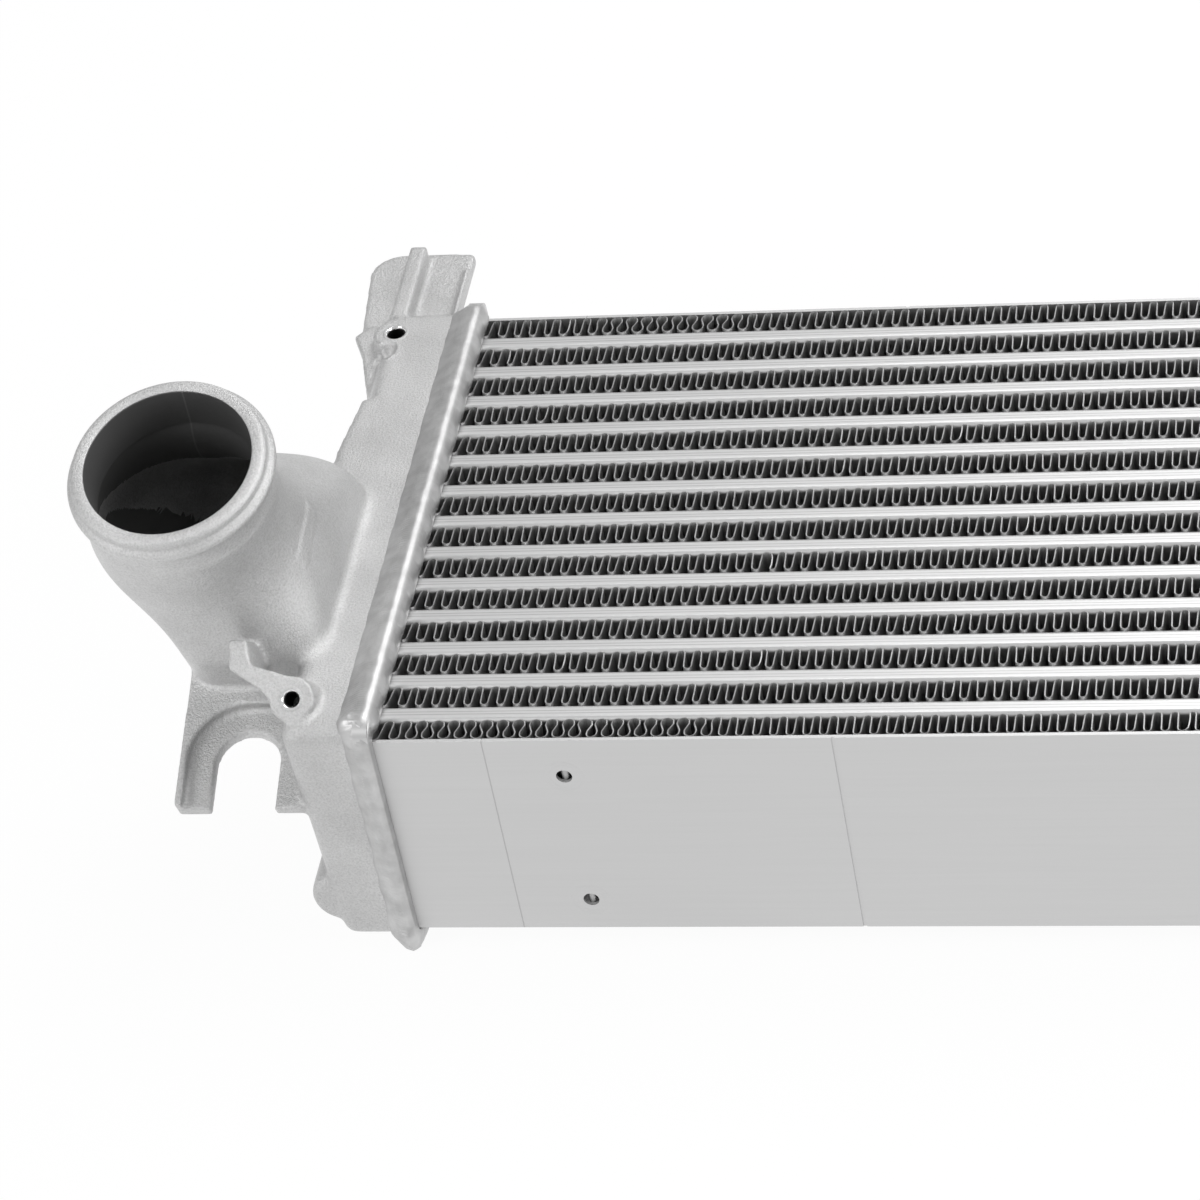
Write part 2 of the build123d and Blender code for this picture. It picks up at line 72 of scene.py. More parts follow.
# %% Measure from the corner of the core
core_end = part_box("inlet_header")[1][0]
core_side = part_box("foot_side_plate")[1][1]
core_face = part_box("foot_side_plate")[1][2]
core_far_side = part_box("ear_side_plate")[0][1]
core_width = (core_far_side - core_side) / MM
core_depth = (core_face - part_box("foot_side_plate")[0][2]) / MM
row_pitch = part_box("tube_02")[0][1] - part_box("tube_01")[0][1]


def at(out, along, up):
    """A point at the inlet end, in metres, from distances in millimetres."""
    return Vector((core_end - out * MM, core_side + along * MM, core_face + up * MM))


print("core end, side and face in mm:", [round(v / MM, 2) for v in (core_end, core_side, core_face)])

# %% [markdown]
# ## Camera
# The photograph was taken from far off with a long lens, so the tubes run almost parallel. The
# angles below were worked out from the corners of the core, and the camera is rolled a little
# because the cooler was laid slantwise in the frame.

# %% Place the camera
view_azimuth, view_elevation, view_roll = radians(16.636), radians(40.086), radians(-11.871)
back = Vector(
    (sin(view_azimuth) * cos(view_elevation), -cos(view_azimuth) * cos(view_elevation), sin(view_elevation))
)
level_right = Vector((cos(view_azimuth), sin(view_azimuth), 0))
level_up = back.cross(level_right)
camera_right = cos(view_roll) * level_right + sin(view_roll) * level_up
camera_up = cos(view_roll) * level_up - sin(view_roll) * level_right

camera_data = bpy.data.cameras.new("camera")
camera_data.lens = 150
camera_data.sensor_width = 36
camera_data.clip_end = 20
camera = bpy.data.objects.new("camera", camera_data)
bpy.context.scene.collection.objects.link(camera)
bpy.context.scene.camera = camera
turn = Matrix((camera_right, camera_up, back)).transposed().to_4x4()
camera_place = at(-513.1, -1374.5, 1277.7)
camera.matrix_world = Matrix.Translation(camera_place) @ turn
print("camera at", [round(v, 3) for v in camera.matrix_world.translation])

# %% [markdown]
# ## Light
# Bare aluminium shows what stands round it, so it needs large soft lights more than strong ones.
# One big panel hangs above and behind the cooler, a second stands in front at the left, a third at
# the right, and a pale room fills the rest.


# %% Hang the lights
def soft_panel(name, place, aim, size, watts):
    """A square lamp at a place, turned towards a point."""
    data = bpy.data.lights.new(name, "AREA")
    data.size = size
    data.energy = watts
    panel = bpy.data.objects.new(name, data)
    bpy.context.scene.collection.objects.link(panel)
    panel.location = place
    panel.rotation_euler = (Vector(aim) - Vector(place)).to_track_quat("-Z", "Y").to_euler()
    print(name, "of", watts, "watts")


soft_panel("panel_overhead", place=(0.3, 1.0, 1.95), aim=(-0.1, 0, 0.05), size=1.3, watts=22)
soft_panel("panel_front_left", place=(-1.9, -1.4, 1.6), aim=(-0.3, 0, 0.05), size=1.2, watts=20)
soft_panel("panel_right", place=(1.5, -0.3, 0.9), aim=(-0.2, 0, 0.1), size=0.8, watts=15)

# %% [markdown]
# ## Materials
# Each finish is named for how the metal was made. Colours are written as sRGB hex values, the way
# a paint chart gives them, and one function turns them to the linear values that Blender uses.


# %% Helpers for materials
def linear(hex_colour):
    """Linear RGBA from an sRGB hex value such as 'C8C8C8'."""
    channels = [int(hex_colour[i : i + 2], 16) / 255 for i in (0, 2, 4)]
    return [c / 12.92 if c <= 0.04045 else ((c + 0.055) / 1.055) ** 2.4 for c in channels] + [1.0]


def add_node(material, kind, settings=None, links=None):
    """Add a node, set its sockets or properties, and link other outputs to its inputs."""
    node = material.node_tree.nodes.new(kind)
    for key, value in (settings or {}).items():
        if isinstance(key, str) and hasattr(node, key) and key not in node.inputs:
            setattr(node, key, value)
        else:
            node.inputs[key].default_value = value
    for key, output in (links or {}).items():
        material.node_tree.links.new(output, node.inputs[key])
    return node


def bare_metal(name, roughness):
    """A new metal material, with its shader and the Object coordinates that patterns use."""
    material = bpy.data.materials.new(name)
    material.use_nodes = True
    shader = material.node_tree.nodes["Principled BSDF"]
    shader.inputs["Metallic"].default_value = 1.0
    shader.inputs["Roughness"].default_value = roughness
    coordinates = add_node(material, "ShaderNodeTexCoord").outputs["Object"]
    return material, shader, coordinates


# %% [markdown]
# Sand-cast aluminium takes the grain of the sand that it was poured in: fine pits of about half a
# millimetre all over, and broad cloudy patches where the skin cooled at another pace. The pits are
# too fine to model, so they are bump. They are drawn at 0.9 mm, a little coarse, so that they show.

# %% Cast aluminium
cast_aluminium, shader, coordinates = bare_metal("cast_aluminium", 0.52)
cloud_width, sand_grain, pit_depth = 38 * MM, 0.9 * MM, 0.5 * MM
clouds = add_node(
    cast_aluminium,
    "ShaderNodeTexNoise",
    {"Scale": 1 / cloud_width, "Detail": 3.0},
    {"Vector": coordinates},
)
cloud_tones = add_node(cast_aluminium, "ShaderNodeValToRGB", links={"Fac": clouds.outputs["Fac"]})
cloud_tones.color_ramp.elements[0].position = 0.3
cloud_tones.color_ramp.elements[0].color = linear("CCCCCC")
cloud_tones.color_ramp.elements[1].position = 0.7
cloud_tones.color_ramp.elements[1].color = linear("DCDCDC")
sand = add_node(
    cast_aluminium,
    "ShaderNodeTexNoise",
    {"Scale": 1 / sand_grain, "Detail": 3.0, "Roughness": 0.7},
    {"Vector": coordinates},
)
pits = add_node(
    cast_aluminium,
    "ShaderNodeBump",
    {"Strength": 0.9, "Distance": pit_depth},
    {"Height": sand.outputs["Fac"]},
)
cast_aluminium.node_tree.links.new(pits.outputs["Normal"], shader.inputs["Normal"])
# The same noise that makes the pits also makes the colour a little darker in them.
pit_darkening = add_node(cast_aluminium, "ShaderNodeValToRGB", links={"Fac": sand.outputs["Fac"]})
pit_darkening.color_ramp.elements[0].position = 0.32
pit_darkening.color_ramp.elements[0].color = linear("E8E8E8")
pit_darkening.color_ramp.elements[1].position = 0.6
pit_darkening.color_ramp.elements[1].color = linear("FFFFFF")
pitted_skin_colour = add_node(
    cast_aluminium,
    "ShaderNodeMix",
    {"data_type": "RGBA", "blend_type": "MULTIPLY", "Factor": 1.0},
    {"A": cloud_tones.outputs["Color"], "B": pit_darkening.outputs["Color"]},
)
cast_aluminium.node_tree.links.new(pitted_skin_colour.outputs["Result"], shader.inputs["Base Color"])
print("made", cast_aluminium.name)

# %% [markdown]
# Weld metal froze in the open, under shielding gas, so it took no grain from a mould, only a
# fine roughness of its own. The arc left a thin grey smut on it, in patches some 7 mm across.

# %% Weld metal
weld_metal, shader, coordinates = bare_metal("weld_metal", 0.5)
weld_grain, weld_grain_depth, smut_width = 0.9 * MM, 0.15 * MM, 7 * MM
grains = add_node(
    weld_metal,
    "ShaderNodeTexNoise",
    {"Scale": 1 / weld_grain, "Detail": 2.0},
    {"Vector": coordinates},
)
weld_bump = add_node(
    weld_metal,
    "ShaderNodeBump",
    {"Strength": 0.4, "Distance": weld_grain_depth},
    {"Height": grains.outputs["Fac"]},
)
weld_metal.node_tree.links.new(weld_bump.outputs["Normal"], shader.inputs["Normal"])
smut = add_node(
    weld_metal,
    "ShaderNodeTexNoise",
    {"Scale": 1 / smut_width, "Detail": 4.0},
    {"Vector": coordinates},
)
smut_tones = add_node(weld_metal, "ShaderNodeValToRGB", links={"Fac": smut.outputs["Fac"]})
smut_tones.color_ramp.elements[0].position = 0.35
smut_tones.color_ramp.elements[0].color = linear("BEBEBE")
smut_tones.color_ramp.elements[1].position = 0.65
smut_tones.color_ramp.elements[1].color = linear("D0D0D0")
weld_metal.node_tree.links.new(smut_tones.outputs["Color"], shader.inputs["Base Color"])
print("made", weld_metal.name)

# %% [markdown]
# Where a cutter went over the casting, the metal is bright: the chamfers of the two tapped holes.
# The threads below them get painted shade: a dark colour that stands in for the shade in the holes.

# %% Cut metal
cut_aluminium, shader, _ = bare_metal("machined_aluminium", 0.22)
shader.inputs["Base Color"].default_value = linear("EEEEEE")
# Painted shade: the dark colour of the threads stands in for the shade inside the holes.
thread_painted_shade, shader, _ = bare_metal("tapped_thread_painted_shade", 0.4)
shader.inputs["Base Color"].default_value = linear("5E5E5E")
print("made", cut_aluminium.name, "and", thread_painted_shade.name)


# %% Thin lines
def thin_line(material, distance, centre, half_width):
    """1 where a distance in metres lies within half_width of a centre, fading to 0 beside it."""
    offset = add_node(material, "ShaderNodeMath", {"operation": "SUBTRACT", 1: centre}, {0: distance})
    size = add_node(material, "ShaderNodeMath", {"operation": "ABSOLUTE"}, {0: offset.outputs[0]})
    fade = {"From Min": half_width * 0.5, "From Max": half_width * 1.5, "To Min": 1.0, "To Max": 0.0}
    return add_node(material, "ShaderNodeMapRange", fade, {"Value": size.outputs[0]}).outputs["Result"]


# %% [markdown]
# The port's bore lies deep in shade, and painted shade gives it a dark colour. The
# mould's two halves met along one faint line there, which leans outwards as it goes down.

# %% Painted shade in the bore
bore_shade, shader, coordinates = bare_metal("casting_with_painted_bore_shade", 0.6)
parting_out, parting_lean, parting_half_width = 85.1 * MM, 0.0966, 0.3 * MM
bore_parts = add_node(bore_shade, "ShaderNodeSeparateXYZ", links={"Vector": coordinates})
bore_out = add_node(bore_shade, "ShaderNodeMath", {"operation": "ABSOLUTE"}, {0: bore_parts.outputs["X"]})
bore_lean = add_node(
    bore_shade,
    "ShaderNodeMath",
    {"operation": "MULTIPLY_ADD", 1: parting_lean},
    {0: bore_parts.outputs["Z"], 2: bore_out.outputs[0]},
)
parting_place = abs(core_end) + parting_out + parting_lean * core_face
parting = thin_line(bore_shade, bore_lean.outputs[0], parting_place, parting_half_width)
# Painted shade: the dark colour stands in for the shade inside the port; the lighter parting line on it is
# real.
bore_shade_and_parting = add_node(
    bore_shade,
    "ShaderNodeMix",
    {"data_type": "RGBA", "A": linear("868686"), "B": linear("9C9C9C")},
    {"Factor": parting},
)
bore_shade.node_tree.links.new(bore_shade_and_parting.outputs["Result"], shader.inputs["Base Color"])
print("made", bore_shade.name)

# %% [markdown]
# The header and side plates are rolled aluminium sheet, brazed in an oven. Rolling leaves faint
# lines along the sheet and the oven a dull, even skin.

# %% Rolled sheet
rolled_sheet, shader, coordinates = bare_metal("rolled_aluminium_sheet", 0.5)
mill_line_length, mill_line_width, mill_line_depth = 60 * MM, 1.2 * MM, 0.03 * MM
stretched = add_node(
    rolled_sheet,
    "ShaderNodeMapping",
    {"Scale": (1 / mill_line_length, 1 / mill_line_width, 1 / mill_line_width)},
    {"Vector": coordinates},
)
mill_lines = add_node(
    rolled_sheet, "ShaderNodeTexNoise", {"Scale": 1.0, "Detail": 2.0}, {"Vector": stretched.outputs["Vector"]}
)
sheet_tones = add_node(rolled_sheet, "ShaderNodeValToRGB", links={"Fac": mill_lines.outputs["Fac"]})
sheet_tones.color_ramp.elements[0].color = linear("CECECE")
sheet_tones.color_ramp.elements[1].color = linear("D2D2D2")
lines_bump = add_node(
    rolled_sheet,
    "ShaderNodeBump",
    {"Strength": 0.05, "Distance": mill_line_depth},
    {"Height": mill_lines.outputs["Fac"]},
)
print("made", rolled_sheet.name)

# %% [markdown]
# A fitter scribed a line across both ends of each side plate, 44 mm from the header. Round each
# bolt hole the thin sheet sank a little when the screw was pulled tight. Neither mark is deeper than
# a quarter of a millimetre, so both are bump. The holes lie in pairs, one above the other, so the
# rings are measured from the middle of a pair.

# %% Scribed line and sunk rings
scribe_out, scribe_half_width = 44 * MM, 0.22 * MM
holes_out, pair_down, pair_half_gap = 74 * MM, 52.5 * MM, 33.5 * MM
ring_radius, ring_half_width, mark_depth = 6.6 * MM, 0.8 * MM, 0.25 * MM
plate_parts = add_node(rolled_sheet, "ShaderNodeSeparateXYZ", links={"Vector": coordinates})
from_middle = add_node(
    rolled_sheet, "ShaderNodeMath", {"operation": "ABSOLUTE"}, {0: plate_parts.outputs["X"]}
)
scribed = thin_line(rolled_sheet, from_middle.outputs[0], abs(core_end) - scribe_out, scribe_half_width)
hole_across = add_node(
    rolled_sheet,
    "ShaderNodeMath",
    {"operation": "SUBTRACT", 1: abs(core_end) - holes_out},
    {0: from_middle.outputs[0]},
)
from_pair = add_node(
    rolled_sheet,
    "ShaderNodeMath",
    {"operation": "SUBTRACT", 1: core_face - pair_down},
    {0: plate_parts.outputs["Z"]},
)
pair_half = add_node(rolled_sheet, "ShaderNodeMath", {"operation": "ABSOLUTE"}, {0: from_pair.outputs[0]})
hole_up = add_node(
    rolled_sheet, "ShaderNodeMath", {"operation": "SUBTRACT", 1: pair_half_gap}, {0: pair_half.outputs[0]}
)
to_hole = add_node(
    rolled_sheet, "ShaderNodeCombineXYZ", links={"X": hole_across.outputs[0], "Y": hole_up.outputs[0]}
)
hole_distance = add_node(
    rolled_sheet, "ShaderNodeVectorMath", {"operation": "LENGTH"}, {0: to_hole.outputs["Vector"]}
)
sunk = thin_line(rolled_sheet, hole_distance.outputs["Value"], ring_radius, ring_half_width)
marks = add_node(rolled_sheet, "ShaderNodeMath", {"operation": "MAXIMUM"}, {0: scribed, 1: sunk})
sunk_bump = add_node(
    rolled_sheet,
    "ShaderNodeBump",
    {"Strength": 0.6, "Distance": -mark_depth},
    {"Height": marks.outputs[0], "Normal": lines_bump.outputs["Normal"]},
)
rolled_sheet.node_tree.links.new(sunk_bump.outputs["Normal"], shader.inputs["Normal"])
scribe_tone = add_node(
    rolled_sheet,
    "ShaderNodeMix",
    {"data_type": "RGBA", "B": linear("BCBCBC")},
    {"Factor": scribed, "A": sheet_tones.outputs["Color"]},
)
rolled_sheet.node_tree.links.new(scribe_tone.outputs["Result"], shader.inputs["Base Color"])
print("scribed line in mm from the header:", round(scribe_out / MM))

# %% [markdown]
# The tubes' noses are the light bands on the face. They are drawn through a die, which scores two
# fine lines along each one and leaves the metal streaked between them.

# %% Drawn tube
drawn_tube, shader, coordinates = bare_metal("drawn_aluminium_tube", 0.44)
streak_length, streak_width, streak_height, streak_depth = 90 * MM, 0.8 * MM, 3 * MM, 0.12 * MM
score_places, score_half_width = (-0.9 * MM, 0.6 * MM), 0.16 * MM
die_scale = add_node(
    drawn_tube,
    "ShaderNodeMapping",
    {"Scale": (1 / streak_length, 1 / streak_width, 1 / streak_height)},
    {"Vector": coordinates},
)
streaks = add_node(
    drawn_tube, "ShaderNodeTexNoise", {"Scale": 1.0, "Detail": 2.0}, {"Vector": die_scale.outputs["Vector"]}
)
tube_parts = add_node(drawn_tube, "ShaderNodeSeparateXYZ", links={"Vector": coordinates})
first_tube = (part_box("tube_01")[0][1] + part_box("tube_01")[1][1]) / 2
in_rows = add_node(
    drawn_tube,
    "ShaderNodeMath",
    {"operation": "SUBTRACT", 1: first_tube - row_pitch / 2},
    {0: tube_parts.outputs["Y"]},
)
in_row = add_node(
    drawn_tube, "ShaderNodeMath", {"operation": "FLOORED_MODULO", 1: row_pitch}, {0: in_rows.outputs[0]}
)
scores = [
    thin_line(drawn_tube, in_row.outputs[0], row_pitch / 2 + place, score_half_width)
    for place in score_places
]
scored = add_node(drawn_tube, "ShaderNodeMath", {"operation": "MAXIMUM"}, {0: scores[0], 1: scores[1]})
tube_tones = add_node(drawn_tube, "ShaderNodeValToRGB", links={"Fac": streaks.outputs["Fac"]})
tube_tones.color_ramp.elements[0].color = linear("CACACA")
tube_tones.color_ramp.elements[1].color = linear("DEDEDE")
scored_tone = add_node(
    drawn_tube,
    "ShaderNodeMix",
    {"data_type": "RGBA", "B": linear("B2B2B2")},
    {"Factor": scored.outputs[0], "A": tube_tones.outputs["Color"]},
)
drawn_tube.node_tree.links.new(scored_tone.outputs["Result"], shader.inputs["Base Color"])
die_bump = add_node(
    drawn_tube,
    "ShaderNodeBump",
    {"Strength": 0.25, "Distance": streak_depth},
    {"Height": streaks.outputs["Fac"]},
)
drawn_tube.node_tree.links.new(die_bump.outputs["Normal"], shader.inputs["Normal"])
print("made", drawn_tube.name)

# %% [markdown]
# Fin stock is thin rolled foil, clad with braze that dulls to a grey film in the oven. The cut
# edges on the face look straight up and mirror the panel above, so painted shade makes their colour
# a little darker than the walls', which keeps them from turning white. A face's normal tells the two apart.

# %% Fin foil
fin_foil, shader, _ = bare_metal("brazed_fin_foil", 0.45)
facing = add_node(fin_foil, "ShaderNodeTexCoord").outputs["Normal"]
facing_parts = add_node(fin_foil, "ShaderNodeSeparateXYZ", links={"Vector": facing})
upward = add_node(fin_foil, "ShaderNodeMath", {"operation": "ABSOLUTE"}, {0: facing_parts.outputs["Z"]})
wall_tone_and_edge_shade = add_node(fin_foil, "ShaderNodeValToRGB", links={"Fac": upward.outputs[0]})
# Edges that face up or down get painted shade: a darker colour against the lamp's reflection.
wall_tone_and_edge_shade.color_ramp.elements[0].position = 0.6
wall_tone_and_edge_shade.color_ramp.elements[0].color = linear("BCBCBC")
wall_tone_and_edge_shade.color_ramp.elements[1].position = 0.85
wall_tone_and_edge_shade.color_ramp.elements[1].color = linear("AAAAAA")
fin_foil.node_tree.links.new(wall_tone_and_edge_shade.outputs["Color"], shader.inputs["Base Color"])
print("made", fin_foil.name)

# %% [markdown]
# Every solid gets its finish by its name. The tubes, headers, side plates and turbulators stay as
# they are. The fin strips, the tanks and the welds are modelled anew in the steps that follow.

# %% Dress the solids
for name, node in nodes.items():
    if name.startswith("tube_"):
        finish = drawn_tube
    elif name.startswith(("fin_", "turbulator_")):
        finish = fin_foil
    elif "tank" in name or "weld" in name:
        finish = cast_aluminium
    else:
        finish = rolled_sheet
    node.data.materials.clear()
    node.data.materials.append(finish)
print("dressed", len(nodes), "nodes")

# %% [markdown]
# ## Floor
# The cooler lies on a white sweep. The floor's own colour is white, and for the camera most of it
# is lit evenly, so that only a faint shadow shows where the cooler rests.

# %% Lay the floor
floor_width, floor_gap, even_share = 12, 0.2 * MM, 0.95
bpy.ops.mesh.primitive_plane_add(size=floor_width, location=(0, 0, cad_box[0][2] - floor_gap))
floor = bpy.context.object
floor.name = "floor"
white_sweep = bpy.data.materials.new("white_sweep")
white_sweep.use_nodes = True
paper = white_sweep.node_tree.nodes["Principled BSDF"]
paper.inputs["Base Color"].default_value = linear("F4F4F4")
paper.inputs["Roughness"].default_value = 0.9
rays = add_node(white_sweep, "ShaderNodeLightPath")
seen = add_node(
    white_sweep,
    "ShaderNodeMath",
    {"operation": "MAXIMUM"},
    {0: rays.outputs["Is Camera Ray"], 1: rays.outputs["Is Glossy Ray"]},
)
even_light = add_node(white_sweep, "ShaderNodeEmission", {"Color": linear("FFFFFF"), "Strength": 1.0})
share = add_node(
    white_sweep, "ShaderNodeMath", {"operation": "MULTIPLY", 1: even_share}, {0: seen.outputs[0]}
)
sweep_mix = add_node(
    white_sweep,
    "ShaderNodeMixShader",
    links={0: share.outputs[0], 1: paper.outputs["BSDF"], 2: even_light.outputs["Emission"]},
)
white_sweep.node_tree.links.new(
    sweep_mix.outputs["Shader"], white_sweep.node_tree.nodes["Material Output"].inputs["Surface"]
)
floor.data.materials.append(white_sweep)
print("floor at", round((cad_box[0][2] - floor_gap) / MM, 2), "mm")

# %% Fill the rest with a pale room
world = bpy.data.worlds.new("pale_room")
world.use_nodes = True
room = world.node_tree.nodes["Background"]
room.inputs["Color"].default_value = linear("F2F2F2")
room.inputs["Strength"].default_value = 0.58
bpy.context.scene.world = world
bpy.context.scene.view_settings.view_transform = "Standard"
print("world:", world.name)

# %% [markdown]
# ## Fins
# A fin strip is one ribbon of foil, folded up and down between two tubes. It is modelled as the
# folding rollers make it: one wave is shaped, repeated along the core, and only then given its
# thickness. The loops near the face are then pushed about, because that is where fingers, stones
# and packing touch them.

# %% Sizes of the fins
fin_low, fin_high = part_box("fin_strip_01")
fin_height = fin_high[1] - fin_low[1]
fin_foil_thickness = 0.48 * MM
fin_count = 93
fin_pitch = (fin_high[0] - fin_low[0]) / fin_count
fold_radius = 1.5 * MM
fold_rise = (fin_height - fin_foil_thickness) / 2
print("waves in a strip:", fin_count, "row pitch in mm:", round(row_pitch / MM, 2))


# %% Shape one wave of foil
def wave_outline():
    """Points of one wave from the bottom of a fold to the bottom of the next, seen from above."""
    lean = atan2(fin_pitch / 2 - 2 * fold_radius, 2 * (fold_rise - fold_radius))
    step = (pi / 2 - lean) / 3
    fold = [(fold_radius * sin(k * step), fold_radius * (1 - cos(k * step))) for k in range(4)]
    rising = [(across, -fold_rise + up) for across, up in fold]
    foot, head = fold[-1], (fin_pitch / 2 - fold[-1][0], 2 * fold_rise - fold[-1][1])
    for share in (0.25, 0.5, 0.75):
        rising.append(
            (foot[0] + share * (head[0] - foot[0]), -fold_rise + foot[1] + share * (head[1] - foot[1]))
        )
    rising += [(fin_pitch / 2 - across, fold_rise - up) for across, up in reversed(fold)]
    return rising + [(fin_pitch - across, up) for across, up in rising[-2::-1]]


outline = wave_outline()
fin_depths = (fin_low[2], fin_high[2] - 8 * MM, fin_high[2] - 1.6 * MM, fin_high[2])
columns, levels = len(outline) - 1, len(fin_depths) - 1
bpy.ops.mesh.primitive_grid_add(x_subdivisions=columns, y_subdivisions=levels, size=1, location=(0, 0, 0))
fin_pattern = bpy.context.object
for vertex in fin_pattern.data.vertices:
    across, up_row = outline[round((vertex.co.x + 0.5) * columns)]
    depth = fin_depths[round((vertex.co.y + 0.5) * levels)]
    vertex.co = (fin_low[0] + across, (fin_low[1] + fin_high[1]) / 2 + up_row, depth)
print("points in one wave:", len(fin_pattern.data.vertices))

# %% Repeat it along the core
repeat = fin_pattern.modifiers.new("repeat", "ARRAY")
repeat.count = fin_count
repeat.use_relative_offset = False
repeat.use_constant_offset = True
repeat.constant_offset_displace = (fin_pitch, 0, 0)
repeat.use_merge_vertices = True
repeat.merge_threshold = 0.02 * MM
bpy.ops.object.modifier_apply(modifier="repeat")
print("points in one strip before it is thick:", len(fin_pattern.data.vertices))

# %% [markdown]
# Each strip is a copy of that ribbon. At the face the folds lean a little over the rounded nose
# of the next tube. A little unevenness goes into every loop, some loops were knocked aside, and
# the strips beside the two side plates, which stand unprotected, are squashed into S shapes over a
# stretch. Each kind of wear reads its own part of the noise, so it is the same in every run.

# %% How far the wear goes
squashed_stretches = {0: (-0.30, -0.165), 13: (-0.26, -0.185)}
stretch_edge = 0.012
worn_depth, flare_depth, end_reach = 12 * MM, 1.5 * MM, 8 * MM
uneven_length, lean_length, knock_length = 5 * MM, 40 * MM, 8 * MM
uneven_shift, lean_shift, knock_shift, flare_shift = 0.35 * MM, 0.35 * MM, 3.5 * MM, 0.55 * MM
knock_threshold = 0.42
squash_shift, squash_uneven, end_push, end_lean = 0.85 * MM, 0.3 * MM, 0.9 * MM, 0.5 * MM
print("loops are bent over the top", round(worn_depth / MM), "mm")


# %% Bend the loops near the face
def wear(row, x):
    """How far the loops at x in a row are squashed into an S, from 0 to 1."""
    if row not in squashed_stretches:
        return 0.0
    start, end = squashed_stretches[row]
    return max(0.0, min(1.0, (x - start) / stretch_edge, (end - x) / stretch_edge))


def bend_loops(mesh, row, middle):
    """Move the points of a strip near the face, loop by loop."""
    for vertex in mesh.vertices:
        x, y, z = vertex.co
        below_face = fin_high[2] - z
        near_face = max(0.0, min(1.0, 1 - below_face / worn_depth))
        height = (y - middle) / fold_rise
        inner = 1 - abs(height) ** 4
        uneven = noise.noise(Vector((x / uneven_length, row * 7.3, 0.0)))
        lean = noise.noise(Vector((x / lean_length, row * 3.1, 5.0)))
        shift = near_face * (inner * uneven_shift * uneven + height * lean_shift * lean)
        knock = max(0.0, noise.noise(Vector((x / knock_length, row * 5.7, 9.0))) - knock_threshold)
        shift += near_face ** 3 * knock * knock_shift * inner
        side = -sin(2 * pi * (x - fin_low[0]) / fin_pitch)
        s_shape = sin(pi * height) * (squash_shift * side + squash_uneven * uneven)
        shift += wear(row, x) * near_face * s_shape
        for end, way in ((fin_low[0], -1), (fin_high[0], 1)):
            last_loop = max(0.0, 1 - abs(x - end) / end_reach)
            shift += way * last_loop * (end_push - end_lean * height + uneven * MM)
        vertex.co.x = x + shift
        vertex.co.y = y + max(0.0, 1 - below_face / flare_depth) * flare_shift


# %% Make a strip for each row
def make_fin_strip(row):
    """One strip of folded foil in its row, standing for the plain solid."""
    name = f"fin_strip_{row + 1:02d}"
    mesh = fin_pattern.data.copy()
    mesh.transform(Matrix.Translation((0, row * row_pitch, 0)))
    strip = bpy.data.objects.new(f"folded_{name}", mesh)
    bpy.context.scene.collection.objects.link(strip)
    bend_loops(mesh, row, (fin_low[1] + fin_high[1]) / 2 + row * row_pitch)
    bpy.context.view_layer.objects.active = strip
    thicken = strip.modifiers.new("foil", "SOLIDIFY")
    thicken.thickness = fin_foil_thickness
    thicken.offset = 0
    bpy.ops.object.modifier_apply(modifier="foil")
    mesh = strip.data
    bpy.ops.object.select_all(action="DESELECT")
    strip.select_set(True)
    bpy.ops.object.shade_smooth_by_angle(angle=radians(40))
    mesh.materials.clear()
    mesh.materials.append(fin_foil)
    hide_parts(name)
    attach(strip, "root")
    return strip


row_count = sum(name.startswith("fin_strip_") for name in nodes)
fin_rows = [make_fin_strip(row) for row in range(row_count)]
bpy.data.objects.remove(fin_pattern)
print("fin strips:", len(fin_rows), "faces in each:", len(fin_rows[0].data.polygons))

# %% [markdown]
# ## Cast end tanks
# A casting has no sharp inner corners: molten metal would tear there, so the pattern maker rounds
# each one. The solid has the right sizes but keen corners. A copy of it is turned into an even
# skin of small faces and smoothed, which rounds every corner a little, as the mould does.

# %% Copy the tank and round its corners
grain = 1.05 * MM
tank_mesh = nodes["inlet_tank"].data.copy()
tank = bpy.data.objects.new("inlet_tank_casting", tank_mesh)
bpy.context.scene.collection.objects.link(tank)
bpy.ops.object.select_all(action="DESELECT")
tank.select_set(True)
bpy.context.view_layer.objects.active = tank
bpy.ops.object.mode_set(mode="EDIT")
bpy.ops.mesh.select_all(action="SELECT")
bpy.ops.mesh.remove_doubles(threshold=0.002 * MM)
bpy.ops.object.mode_set(mode="OBJECT")
skin = tank.modifiers.new("skin", "REMESH")
skin.mode = "VOXEL"
skin.voxel_size = grain
bpy.ops.object.modifier_apply(modifier="skin")
print("faces in the skin:", len(tank.data.polygons))

# %% [markdown]
# The fillet along the duct's foot is the largest one on the casting, about 5 mm. Groups of points
# say how much each part is smoothed: the duct's foot a lot, the skin a little, and the bosses and
# the forked foot hardly at all, because their edges came out of the mould crisp.


# %% Smooth the skin
def from_corner(point):
    """How far out, along and up a point at the inlet end lies, in millimetres: at() turned round."""
    return (core_end - point.x) / MM, (point.y - core_side) / MM, (point.z - core_face) / MM


